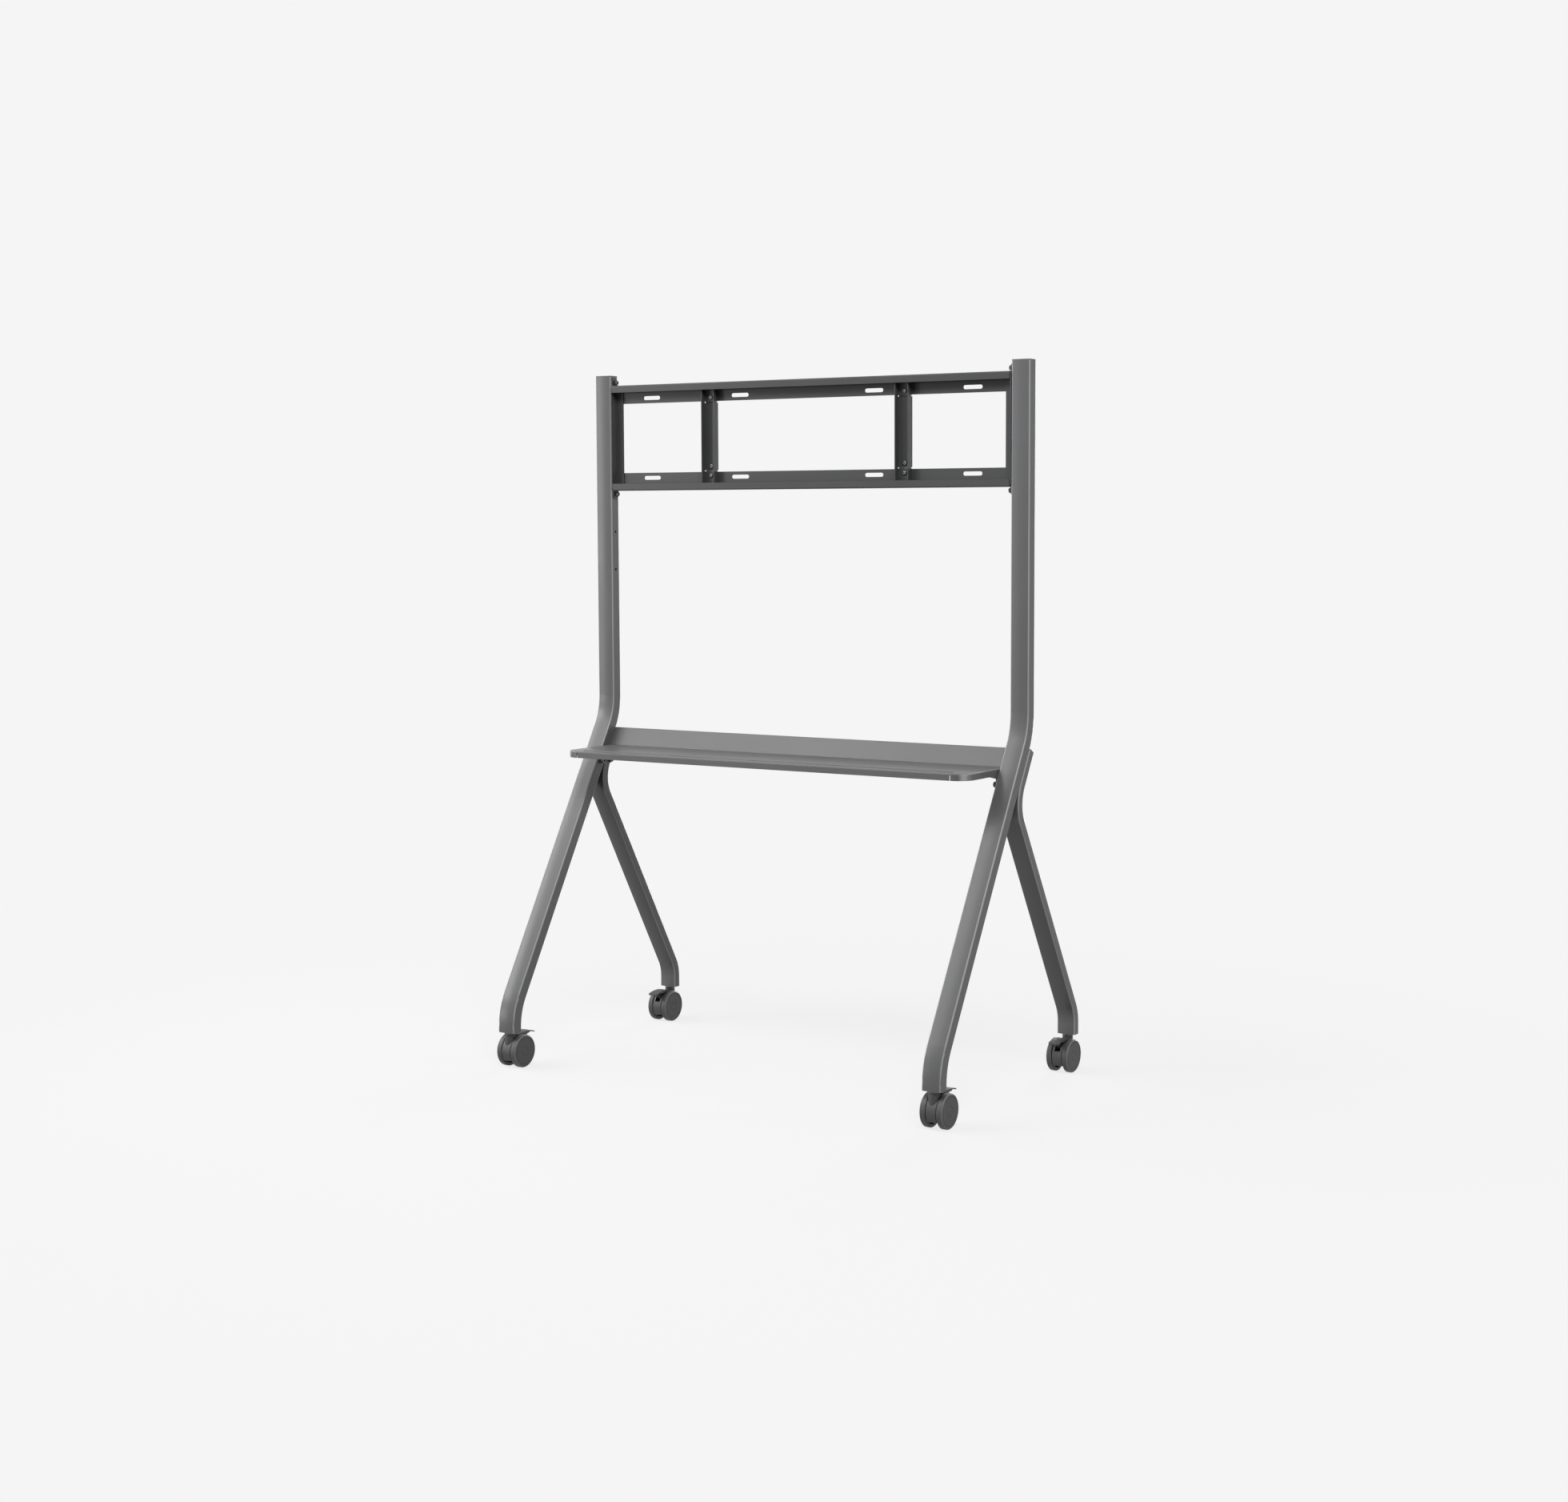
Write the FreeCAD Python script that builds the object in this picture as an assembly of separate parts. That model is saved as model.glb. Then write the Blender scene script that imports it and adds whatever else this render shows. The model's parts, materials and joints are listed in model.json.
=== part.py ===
import FreeCAD, Part
import math
import os

# Mobile stand for a large flat screen. Millimetres, X to the right, +Z up. The front, where the screen
# hangs, faces -Y. The floor is z = 0 and the origin is the middle of the footprint.
# Functions work in stand coordinates, whose y = 0 is the front face of the two uprights. The last step
# moves every piece back or forward as one, so that the origin is in the middle.

V = FreeCAD.Vector
X = V(1, 0, 0)
Y = V(0, 1, 0)
Z = V(0, 0, 1)
ORIGIN = V(0, 0, 0)
FULL_TURN = 360.0
HALF_TURN = 180.0
overrun = 1.0                     # how far a cutting tool passes a face
seat_gap = 0.3                    # play between pieces that are slipped together
plug_gap = 0.4                    # play of a plastic plug inside a tube

# Leg tubes: flat sides, rounded corners and a front face with a slight crown
frame_width = 1152.0              # over the outer sides of the legs
tube_width = 45.0
front_tube_depth = 30.0
rear_tube_depth = 22.0
tube_wall = 2.0
tube_corner_radius = 4.0
tube_crown = 2.0
stand_height = 1584.0
cap_head = 2.0
cap_skirt = 10.0
socket_plug_height = 9.0          # of the foot socket's part that fills the tube, below the ankle's bend
socket_boss_radius = 8.0          # of its boss round the caster's stem

# Front legs: upright, knee, slant towards the front, and a short vertical foot
slant_angle = 30.5                # of both legs, from the vertical
knee_height = 794.4               # where the straight lines of the upright and the slant meet
front_ankle_height = 136.9        # where the straight lines of the slant and the foot meet
foot_height = 83.0                # lower end of the tubes
front_bend_radius = 130.0         # on the inner side of the bend

# Rear legs: lie against the slanted back face, bend away backward, and end in a vertical foot
rear_knee_drop = 159.4            # below the front legs' knee
rear_ankle_height = 128.5
rear_bend_radius = 70.0
rear_lap = 135.0                  # straight length above the knee that lies on the front leg
lap_bolt_insets = (26.0, 66.0)    # from the rear leg's top end

# Screen frame: two folded channels with slots, two posts between them, a bracket at each end
rail_drop = 24.0                  # from the top of the stand to the upper rail
screen_frame_height = 246.0       # over both rails
rail_depth = 24.4
rail_lip = 16.5
rail_plate = 42.0
sheet = 2.0
sheet_bend = 1.0                  # inner radius of folds
rail_end_play = 1.3               # between a rail's end and the end bracket
slot_length = 47.5
slot_height = 9.0
slot_edge_distance = 12.0         # from the plate's free edge to the middle of a slot
outer_slot_inset = 100.2          # from a rail's end to the middle of its outer slot
inner_slot_x = 178.5
post_x = 258.0
post_width = 35.0
post_depth = 16.5
post_bolt_edge = 8.5              # from the plate's free edge to the post's bolt
post_spare_bolt_rise = 21.5       # from the lower bolt up to the one in the web
relief_hole_radius = 1.6
bracket_sheet = 2.5
bracket_flange = 22.5
bracket_ear_radius = 11.0
bracket_ear_rise = 7.4            # from the rail's outer face to the ear's bolt
adjust_pitch = 89.2
adjust_holes_below = 2
adjust_holes_above = 1

# Shelf: a tray folded from one sheet, with ears that bolt to the legs
shelf_drop = 81.4                 # from the front legs' knee down to the shelf's top
shelf_front_reach = 195.0         # ahead of the uprights' front face
shelf_flange = 15.0
shelf_corner_radius = 38.7
shelf_upstand = 39.0
shelf_edge_radius = 3.0
shelf_notch_width = 2.4
shelf_notch_skin = 1.6            # what the notch leaves of the fold above it
bead_setback = 25.0               # from the shelf's front edge
bead_width = 7.0
bead_height = 2.0
bead_end_inset = 40.0             # from the shelf's side
ear_bolt_drop = 34.7              # from the shelf's top
ear_lead = 34.0                   # ahead of the leg's front face, at the flange's lower edge
ear_step = 6.5                    # height over which the ear narrows below the flange
ear_step_inset = 2.0              # behind the leg's front face, where the ear has narrowed
ear_tab = 9.0                     # round a bolt, down to the ear's lower edge
ear_corner_radius = 8.0

# Fasteners: round heads with a hexagon socket, domed on the posts and rear legs, tall on the rest
frame_bolt = (6.0, 10.5, 3.3, 4.0)     # thread, head diameter, head height, hexagon across flats
bracket_screw = (6.0, 10.5, 8.0, 5.0)
leg_bolt = (8.0, 12.4, 4.4, 5.0)
shelf_screw = (8.0, 12.0, 8.0, 6.0)
screw_edge_radius = 0.8
bolt_clearance = 0.4                   # on the diameter of a hole
bolt_tail = 12.0
nut_height = 5.0
nut_across_flats = 10.0
socket_depth_share = 0.6

# Casters: twin wheels with a swivelling body, a stem and a foot brake
wheel_diameter = 75.0
caster_trail = 21.0
caster_width = 53.4
wheel_gap = 26.4                  # between the inner faces of the two wheels
body_width = 24.0
body_radius = 36.5
body_floor_gap = 18.5             # the drum is cut flat this far above the floor
body_edge_radius = 1.6
boss_radius = 11.8
collar_radius = 12.2
collar_height = 4.0
stem_diameter = 10.0
stem_length = 26.0
kingpin_diameter = 9.5
kingpin_end_height = 40.0
axle_diameter = 8.0
running_clearance = 0.05          # on the radius of a turning shaft
wheel_play = 0.5                  # between the axle's end and the wheel's closed face
wheel_face = 4.0
wheel_inner_edge = 2.0
wheel_bevel = 2.6
wheel_hub_radius = 11.0
wheel_rim_radius = 30.5
wheel_recess = 7.0
face_groove = 0.6
face_groove_width = 1.4
face_ring_radii = (10.0, 30.0)

# Brake pedal: a curved blade on an arm that turns on a pin in the body's mouth. A reach is measured
# from the stem's axis, and a height from the floor.
pedal_width = 25.6
pedal_start = (14.5, 74.9)        # reach and height of the top face
pedal_crest = (42.0, 78.6)
pedal_tip = (75.0, 73.2)
pedal_thickness = 2.6
pedal_seat_gap = 0.9              # between the blade's start and the flat on top of the drum
pedal_rib = 2.0
pedal_rib_start = (24.0, 74.4)    # reach and height of the rib's lower edge
pedal_rib_end = (50.0, 72.4)
pedal_rib_run_out = 8.0
mouth_width = 14.0
mouth_bottom = 51.5
mouth_back = 28.5
pin_diameter = 4.0
pin_place = (35.0, 59.0)
arm_width = 11.0
arm_root_radius = 4.6
arm_head_reaches = (46.0, 60.0)
arm_foot_offset = 3.0

# Places that follow from the sizes above
wheel_radius = wheel_diameter / 2
half_frame = frame_width / 2
inner_face = half_frame - tube_width
leg_x = half_frame - tube_width / 2
slope = math.tan(math.radians(slant_angle))
along = math.cos(math.radians(slant_angle))
foot_reach = (knee_height - front_ankle_height) * slope
rear_knee_height = knee_height - rear_knee_drop
rear_knee_y = front_tube_depth / along - rear_knee_drop * slope
rear_foot_reach = rear_knee_y + (rear_knee_height - rear_ankle_height) * slope
front_stem_y = -foot_reach + front_tube_depth / 2
rear_stem_y = rear_foot_reach + rear_tube_depth / 2
footprint_front = front_stem_y + caster_trail - wheel_radius
footprint_rear = rear_stem_y - caster_trail + wheel_radius
front_plane_y = -(footprint_front + footprint_rear) / 2
tube_top = stand_height - cap_head
rail_top = stand_height - rail_drop
rail_bottom = rail_top - screen_frame_height
rail_end = inner_face - bracket_sheet - rail_end_play
outer_slot_x = rail_end - outer_slot_inset
plate_face_y = rail_depth - sheet
upper_plate_edge = rail_top - rail_plate
lower_plate_edge = rail_bottom + rail_plate
upper_slot_z = upper_plate_edge + slot_edge_distance
lower_slot_z = lower_plate_edge - slot_edge_distance
upper_post_bolt_z = upper_plate_edge + post_bolt_edge
lower_post_bolt_z = lower_plate_edge - post_bolt_edge
upper_ear_z = rail_top + bracket_ear_rise
lower_ear_z = rail_bottom - bracket_ear_rise
ear_bolt_y = front_tube_depth / 2
shelf_top = knee_height - shelf_drop
shelf_side = inner_face - seat_gap
body_top = foot_height - collar_height - seat_gap


def face_y(z):
    """The y of the slanted front face of a front leg at height z."""
    return (z - knee_height) * slope


def back_face_y(z):
    """The y of the slanted back face of a front leg at height z, where the rear leg and shelf lie."""
    return face_y(z) + front_tube_depth / along


# Shapes of use to several pieces


def unit(vector):
    return V(vector) / vector.Length


def outline(points, radii):
    """A closed wire through corner points, each corner rounded by its own radius."""
    count = len(points)
    corners = []
    for i in range(count):
        here, before, after = points[i], points[i - 1], points[(i + 1) % count]
        if radii[i] <= 0:
            corners.append((here, None, here))
            continue
        a, b = unit(before - here), unit(after - here)
        half = a.getAngle(b) / 2
        reach = radii[i] / math.tan(half)
        middle = here + unit(a + b) * (radii[i] / math.sin(half) - radii[i])
        corners.append((here + a * reach, middle, here + b * reach))
    edges = []
    for i in range(count):
        start, middle, end = corners[i]
        if middle is not None:
            edges.append(Part.Arc(start, middle, end).toShape())
        following = corners[(i + 1) % count][0]
        if (following - end).Length > seat_gap / 1000:
            edges.append(Part.makeLine(end, following))
    return Part.Wire(edges)


def plate(points, radii, thickness_vector):
    return Part.Face(outline(points, radii)).extrude(thickness_vector)


def sheet_side(start, end):
    """The side to which a folded sheet has its thickness, for a run in a plane of constant x."""
    return X.cross(unit(end - start))


def folded(points, thickness, bend):
    """The closed outline of a folded sheet: the run's corner points, with the thickness to its left."""
    far, near_radii, far_radii = [], [], []
    last = len(points) - 1
    for i, point in enumerate(points):
        if i in (0, last):
            near = max(i - 1, 0)
            far.append(point + sheet_side(points[near], points[near + 1]) * thickness)
            near_radii.append(0)
            far_radii.append(0)
            continue
        before, after = sheet_side(points[i - 1], point), sheet_side(point, points[i + 1])
        far.append(point + (before + after) * (thickness / (1 + before.dot(after))))
        left_turn = before.cross(after).dot(X) > 0
        near_radii.append(bend + thickness if left_turn else bend)
        far_radii.append(bend if left_turn else bend + thickness)
    return outline(points + far[::-1], near_radii + far_radii[::-1])


def rod(radius, start, direction, length):
    return Part.makeCylinder(radius, length, start, direction)


def hole(diameter, middle, direction, depth):
    """A round cutter centred on a point."""
    return rod(diameter / 2, middle - direction * (depth / 2), direction, depth)


def hexagon(across_flats, start, direction, length):
    circle_radius = across_flats / math.sqrt(3)
    turn = FreeCAD.Rotation(Z, direction)
    corners = [start + turn.multVec(V(circle_radius * math.cos(math.pi / 3 * i),
                                      circle_radius * math.sin(math.pi / 3 * i), 0)) for i in range(6)]
    return Part.Face(Part.makePolygon(corners + corners[:1])).extrude(direction * length)


def button_bolt(size, seat, direction, length):
    """A bolt whose domed head stands on the seat and whose shank runs along the direction."""
    thread, head, height, flats = size
    rim = height * (1 - socket_depth_share)
    turn = FreeCAD.Rotation(Z, -direction)
    top = head / 2 * socket_depth_share
    profile = [V(0, 0, 0), V(head / 2, 0, 0), V(head / 2, 0, rim), V(top, 0, height), V(0, 0, height)]
    shoulder = V(head / 2 * (1 + socket_depth_share) / 2, 0,
                 rim + (height - rim) * (1 + socket_depth_share) / 2)
    edges = [Part.makeLine(profile[0], profile[1]), Part.makeLine(profile[1], profile[2]),
             Part.Arc(profile[2], shoulder, profile[3]).toShape(),
             Part.makeLine(profile[3], profile[4]), Part.makeLine(profile[4], profile[0])]
    domed = Part.Face(Part.Wire(edges)).revolve(ORIGIN, Z, FULL_TURN)
    domed.Placement = FreeCAD.Placement(seat, turn)
    bolt = domed.fuse(rod(thread / 2, seat, direction, length))
    return bolt.cut(key_socket(size, seat, direction)).removeSplitter()


def key_socket(size, seat, direction):
    """A cutter for the hexagon socket in a head that stands on the seat."""
    thread, head, height, flats = size
    return hexagon(flats, seat - direction * (height + overrun), direction,
                   height * socket_depth_share + overrun)


def cap_screw(size, seat, direction, length):
    """A bolt with a tall cylindrical head on the seat and a shank along the direction."""
    thread, head, height, flats = size
    top = rod(head / 2, ORIGIN, Z, height)
    top = fillet_where(top, screw_edge_radius, lambda e: e.BoundBox.ZMin > height - overrun)
    top.Placement = FreeCAD.Placement(seat, FreeCAD.Rotation(Z, -direction))
    screw = top.fuse(rod(thread / 2, seat, direction, length))
    return screw.cut(key_socket(size, seat, direction)).removeSplitter()


def nut(across_flats, height, bore, seat, direction):
    body = hexagon(across_flats, seat, direction, height)
    return body.cut(hole(bore, seat + direction * (height / 2), direction, height + overrun))


def fillet_where(shape, radius, chosen):
    edges = [edge for edge in shape.Edges if chosen(edge)]
    return shape.makeFillet(radius, edges) if edges else shape


# Leg tubes


def tube_section(depth, inset):
    """The tube's outline in the XY plane, front face towards -y, drawn inside the skin by the inset."""
    half = tube_width / 2
    crown_radius = (half ** 2 + tube_crown ** 2) / (2 * tube_crown)
    corner = tube_corner_radius - inset
    centre_x = half - tube_corner_radius
    reach = crown_radius - tube_corner_radius
    centre_y = crown_radius - math.sqrt(reach ** 2 - centre_x ** 2)
    away = unit(V(centre_x, centre_y - crown_radius, 0))
    front_right = V(centre_x, centre_y, 0) + away * corner
    side = half - inset
    back = depth - inset
    low = depth - tube_corner_radius
    diagonal = corner / math.sqrt(2)
    mirrored = lambda p: V(-p.x, p.y, p.z)
    right = V(side, centre_y, 0)
    front_bulge = V(centre_x, centre_y, 0) + unit(away + X) * corner
    right_back, back_right = V(side, low, 0), V(centre_x, back, 0)
    back_bulge = V(centre_x + diagonal, low + diagonal, 0)
    return Part.Wire([
        Part.Arc(mirrored(front_right), V(0, inset, 0), front_right).toShape(),
        Part.Arc(front_right, front_bulge, right).toShape(),
        Part.makeLine(right, right_back),
        Part.Arc(right_back, back_bulge, back_right).toShape(),
        Part.makeLine(back_right, mirrored(back_right)),
        Part.Arc(mirrored(back_right), mirrored(back_bulge), mirrored(right_back)).toShape(),
        Part.makeLine(mirrored(right_back), mirrored(right)),
        Part.Arc(mirrored(right), mirrored(front_bulge), mirrored(front_right)).toShape()])


def placed_section(depth, inset, x, start, heading):
    face = Part.Face(tube_section(depth, inset))
    face.Placement = FreeCAD.Placement(V(x, start.y, start.z), FreeCAD.Rotation(X, -heading))
    return face


def bent_tube(x, depth, start, heading, moves, inset=0.0):
    """A solid bar with the tube's outline. The start is on the front face, a heading of 0 runs straight
    down, and a positive one leans to the front. A move is a run's length or a (turn, inner radius)."""
    pieces = []
    point = V(0, start.y, start.z)
    for move in moves:
        lean = math.radians(heading)
        inward = V(0, math.cos(lean), -math.sin(lean))
        forward = V(0, -math.sin(lean), -math.cos(lean))
        face = placed_section(depth, inset, x, point, heading)
        if not isinstance(move, tuple):
            pieces.append(face.extrude(forward * move))
            point = point + forward * move
            continue
        turn, radius = move
        centre = point - inward * radius if turn > 0 else point + inward * (depth + radius)
        pieces.append(face.revolve(V(x, centre.y, centre.z), X, -turn))
        point = centre + FreeCAD.Rotation(X, -turn).multVec(point - centre)
        heading += turn
    return pieces[0].fuse(pieces[1:]).removeSplitter()


def bend_length(turn, radius):
    """How far before the corner of two straight lines an arc of this radius starts."""
    return radius * math.tan(math.radians(turn) / 2)


def front_leg_moves():
    """Runs and bends of a front leg along its front face, from the top end down."""
    outer = front_bend_radius + front_tube_depth
    knee = bend_length(slant_angle, front_bend_radius)
    ankle = bend_length(slant_angle, outer)
    slanted = (knee_height - front_ankle_height) / along
    return [tube_top - knee_height - knee, (slant_angle, front_bend_radius), slanted - knee - ankle,
            (-slant_angle, front_bend_radius), front_ankle_height - ankle - foot_height]


def rear_leg_moves():
    """Runs and bends of a rear leg along its front face, from the top end down."""
    outer = rear_bend_radius + rear_tube_depth
    knee = bend_length(2 * slant_angle, outer)
    ankle = bend_length(slant_angle, rear_bend_radius)
    slanted = (rear_knee_height - rear_ankle_height) / along
    return [rear_lap - knee, (-2 * slant_angle, rear_bend_radius), slanted - knee - ankle,
            (slant_angle, rear_bend_radius), rear_ankle_height - ankle - foot_height]


def rear_leg_top():
    """The upper end of a rear leg's front face."""
    z = rear_knee_height + rear_lap * along
    return V(0, back_face_y(z), z)


def lap_bolt_place(side, inset):
    """Where a bolt enters the rear leg's back face, and its direction through to the front leg."""
    lean = math.radians(slant_angle)
    down = V(0, -math.sin(lean), -math.cos(lean))
    inward = V(0, math.cos(lean), -math.sin(lean))
    return rear_leg_top() + down * inset + inward * rear_tube_depth + X * (side * leg_x), -inward


def ear_bolt_places(side):
    """The shelf bolts of one side: one in the front leg, one in the rear leg."""
    z = shelf_top - ear_bolt_drop
    front = face_y(z) + front_tube_depth / along / 2
    rear = back_face_y(z) + rear_tube_depth / along / 2
    return [V(side * inner_face, front, z), V(side * inner_face, rear, z)]


def bracket_bolt_heights():
    """The two bolts of an end bracket, and the spare holes that let the screen frame sit lower."""
    used = [upper_ear_z, lower_ear_z]
    spare = [lower_ear_z - adjust_pitch * (i + 1) for i in range(adjust_holes_below)]
    spare += [upper_ear_z - adjust_pitch * (i + 1) for i in range(adjust_holes_above)]
    return used, spare


def front_leg(side):
    x = side * leg_x
    start = V(0, 0, tube_top)
    moves = front_leg_moves()
    leg = bent_tube(x, front_tube_depth, start, 0.0, moves)
    leg = leg.cut(bent_tube(x, front_tube_depth, start, 0.0, moves, tube_wall))
    used, spare = bracket_bolt_heights()
    wall_middle = side * (inner_face + tube_wall / 2)
    cutters = [hole(bracket_screw[0] + bolt_clearance, V(wall_middle, ear_bolt_y, z), X,
                    tube_wall + overrun) for z in used + spare]
    shelf_bolt = ear_bolt_places(side)[0]
    cutters.append(hole(shelf_screw[0] + bolt_clearance, V(wall_middle, shelf_bolt.y, shelf_bolt.z), X,
                        tube_wall + overrun))
    for inset in lap_bolt_insets:
        place, direction = lap_bolt_place(side, inset)
        entry = place + direction * (rear_tube_depth + tube_wall / 2)
        cutters.append(hole(leg_bolt[0] + bolt_clearance, entry, direction, tube_wall + overrun))
    return leg.cut(cutters)


def rear_leg(side):
    x = side * leg_x
    moves = rear_leg_moves()
    leg = bent_tube(x, rear_tube_depth, rear_leg_top(), slant_angle, moves)
    leg = leg.cut(bent_tube(x, rear_tube_depth, rear_leg_top(), slant_angle, moves, tube_wall))
    cutters = []
    for inset in lap_bolt_insets:
        place, direction = lap_bolt_place(side, inset)
        cutters.append(hole(leg_bolt[0] + bolt_clearance, place + direction * (rear_tube_depth / 2),
                            direction, rear_tube_depth + tube_wall))
    bolt = ear_bolt_places(side)[1]
    wall_middle = side * (inner_face + tube_wall / 2)
    cutters.append(hole(shelf_screw[0] + bolt_clearance, V(wall_middle, bolt.y, bolt.z), X,
                        tube_wall + overrun))
    return leg.cut(cutters)


def end_cap(side, depth, place, heading):
    """A push-in cap for a tube's upper end: a head with the tube's outline and a skirt inside it."""
    lean = math.radians(heading)
    up = V(0, math.sin(lean), math.cos(lean))
    head = placed_section(depth, 0.0, side * leg_x, place, heading).extrude(up * cap_head)
    inset = tube_wall + plug_gap
    skirt = placed_section(depth, inset, side * leg_x, place, heading).extrude(up * -cap_skirt)
    return head.fuse(skirt).removeSplitter()


def foot_socket(side, depth, front_y):
    """The plug in a tube's lower end, with a boss that takes the caster's threaded stem."""
    place = V(0, front_y, foot_height)
    plug = placed_section(depth, tube_wall + plug_gap, side * leg_x, place, 0.0)
    plug = plug.extrude(Z * socket_plug_height)
    middle = V(side * leg_x, front_y + depth / 2, foot_height)
    boss = rod(socket_boss_radius, middle, Z, stem_length + cap_head)
    bore = rod(stem_diameter / 2 + running_clearance, middle - Z * overrun, Z, stem_length + overrun)
    return plug.fuse(boss).cut(bore).removeSplitter()


def lap_bolts():
    bolts = []
    length = rear_tube_depth + tube_wall + bolt_tail
    for side in (-1, 1):
        for inset in lap_bolt_insets:
            place, direction = lap_bolt_place(side, inset)
            bolts.append(button_bolt(leg_bolt, place, direction, length))
    return Part.makeCompound(bolts)


# Screen frame


def slot(x, z):
    """A cutter for a slot with round ends that runs along x."""
    half = slot_length / 2
    radius = slot_height / 2
    depth = sheet + 2 * overrun
    corners = [V(x - half, plate_face_y - overrun, z - radius), V(x + half, plate_face_y - overrun, z - radius),
               V(x + half, plate_face_y - overrun, z + radius), V(x - half, plate_face_y - overrun, z + radius)]
    return plate(corners, [radius * 0.999] * 4, Y * depth)


def rail(outer_z, inward, plate_edge_z, slot_z, post_bolt_z):
    """A channel with a short lip at the front and a tall slotted plate at the back. The inward sign
    says which way the channel opens."""
    lip_z = outer_z + inward * rail_lip
    run = [V(-rail_end, rail_depth, plate_edge_z), V(-rail_end, rail_depth, outer_z),
           V(-rail_end, 0, outer_z), V(-rail_end, 0, lip_z)]
    profile = folded(run if inward < 0 else run[::-1], sheet, sheet_bend)
    channel = Part.Face(profile).extrude(X * (2 * rail_end))
    cutters = [slot(x, slot_z) for x in (-outer_slot_x, -inner_slot_x, inner_slot_x, outer_slot_x)]
    middle_y = plate_face_y + sheet / 2
    cutters += [hole(frame_bolt[0] + bolt_clearance, V(x, middle_y, post_bolt_z), Y, sheet + overrun)
                for x in (-post_x, post_x)]
    return channel.cut(cutters)


def post_bolt_places():
    return [V(x, plate_face_y - sheet, z) for x in (-post_x, post_x)
            for z in (upper_post_bolt_z, lower_post_bolt_z)]


def spare_bolt_places():
    return [V(x, plate_face_y, lower_post_bolt_z + post_spare_bolt_rise) for x in (-post_x, post_x)]


def post(x):
    """A channel open to the front. Its ends lie on the rails' plates and its middle steps back by one
    sheet between them, with a relief hole at each end of a fold."""
    low, high = rail_bottom + sheet + sheet_bend, rail_top - sheet - sheet_bend
    step = 2 * sheet
    low_step, high_step = lower_plate_edge + seat_gap, upper_plate_edge - seat_gap
    half = post_width / 2
    run = [V(x - half, plate_face_y, low), V(x - half, plate_face_y, low_step),
           V(x - half, rail_depth, low_step + step), V(x - half, rail_depth, high_step - step),
           V(x - half, plate_face_y, high_step), V(x - half, plate_face_y, high)]
    web = Part.Face(folded(run, sheet, sheet_bend)).extrude(X * post_width)
    lip_clear = sheet + seat_gap
    front = plate_face_y - post_depth
    flanges = []
    for edge in (x - half, x + half - sheet):
        corners = [V(edge, max(front, lip_clear), low), V(edge, plate_face_y - sheet, low),
                   V(edge, plate_face_y - sheet, low_step), V(edge, plate_face_y, low_step + step),
                   V(edge, plate_face_y, high_step - step), V(edge, plate_face_y - sheet, high_step),
                   V(edge, plate_face_y - sheet, high), V(edge, max(front, lip_clear), high)]
        flanges.append(plate(corners, [0] * len(corners), X * sheet))
    channel = web.fuse(flanges).removeSplitter()
    cutters = [hole(frame_bolt[0] + bolt_clearance, V(x, plate_face_y - sheet / 2, z), Y, sheet + overrun)
               for z in (upper_post_bolt_z, lower_post_bolt_z)]
    cutters.append(hole(frame_bolt[0] + bolt_clearance,
                        V(x, plate_face_y + sheet / 2, lower_post_bolt_z + post_spare_bolt_rise), Y,
                        sheet + overrun))
    for edge in (-half + sheet / 2, half - sheet / 2):
        for z in (low_step + step / 2, high_step - step / 2):
            cutters.append(hole(2 * relief_hole_radius, V(x + edge, plate_face_y, z), Y, 2 * step))
    return channel.cut(cutters)


def end_bracket(side):
    """An angle on the upright's inner side. Its flange lies on the rails' plates, and its web has an
    ear with a bolt above and below the rails."""
    outer = side * inner_face
    inner = outer - side * bracket_sheet
    flange_end = outer - side * bracket_flange
    low, high = rail_bottom + sheet + sheet_bend, rail_top - sheet - sheet_bend
    radius = bracket_ear_radius
    ear_low, ear_high = lower_ear_z - radius, upper_ear_z + radius
    front = ear_bolt_y - radius
    web_corners = [V(outer, front, ear_low), V(outer, front + 2 * radius, ear_low),
                   V(outer, front + 2 * radius, ear_high), V(outer, front, ear_high)]
    web = plate(web_corners, [radius * 0.999] * 4, X * (-side * bracket_sheet))
    cover = plate([V(outer, sheet / 2, low), V(outer, plate_face_y, low), V(outer, plate_face_y, high),
                   V(outer, sheet / 2, high)], [bracket_ear_radius / 4] * 4, X * (-side * bracket_sheet))
    flange = Part.makeBox(abs(flange_end - inner), sheet, high - low,
                          V(min(flange_end, inner), plate_face_y - sheet, low))
    middle = outer - side * bracket_sheet / 2
    cutters = [hole(bracket_screw[0] + bolt_clearance, V(middle, ear_bolt_y, z), X,
                    bracket_sheet + overrun) for z in (upper_ear_z, lower_ear_z)]
    return web.fuse([cover, flange]).removeSplitter().cut(cutters)


def bracket_bolts():
    bolts = []
    for side in (-1, 1):
        for z in (upper_ear_z, lower_ear_z):
            seat = V(side * (inner_face - bracket_sheet), ear_bolt_y, z)
            bolts.append(cap_screw(bracket_screw, seat, X * side, bracket_sheet + tube_wall + bolt_tail))
    return Part.makeCompound(bolts)


def post_bolts():
    bolts = [button_bolt(frame_bolt, seat, Y, 2 * sheet + nut_height + overrun) for seat in post_bolt_places()]
    bolts += [button_bolt(frame_bolt, seat, Y, sheet + nut_height + overrun) for seat in spare_bolt_places()]
    return Part.makeCompound(bolts)


def post_nuts():
    seats = [V(p.x, rail_depth, p.z) for p in post_bolt_places() + spare_bolt_places()]
    return Part.makeCompound([nut(nut_across_flats, nut_height, frame_bolt[0] + bolt_clearance / 2, seat, Y)
                              for seat in seats])


# Shelf


def shelf_flange_bottom():
    return shelf_top - shelf_flange


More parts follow.
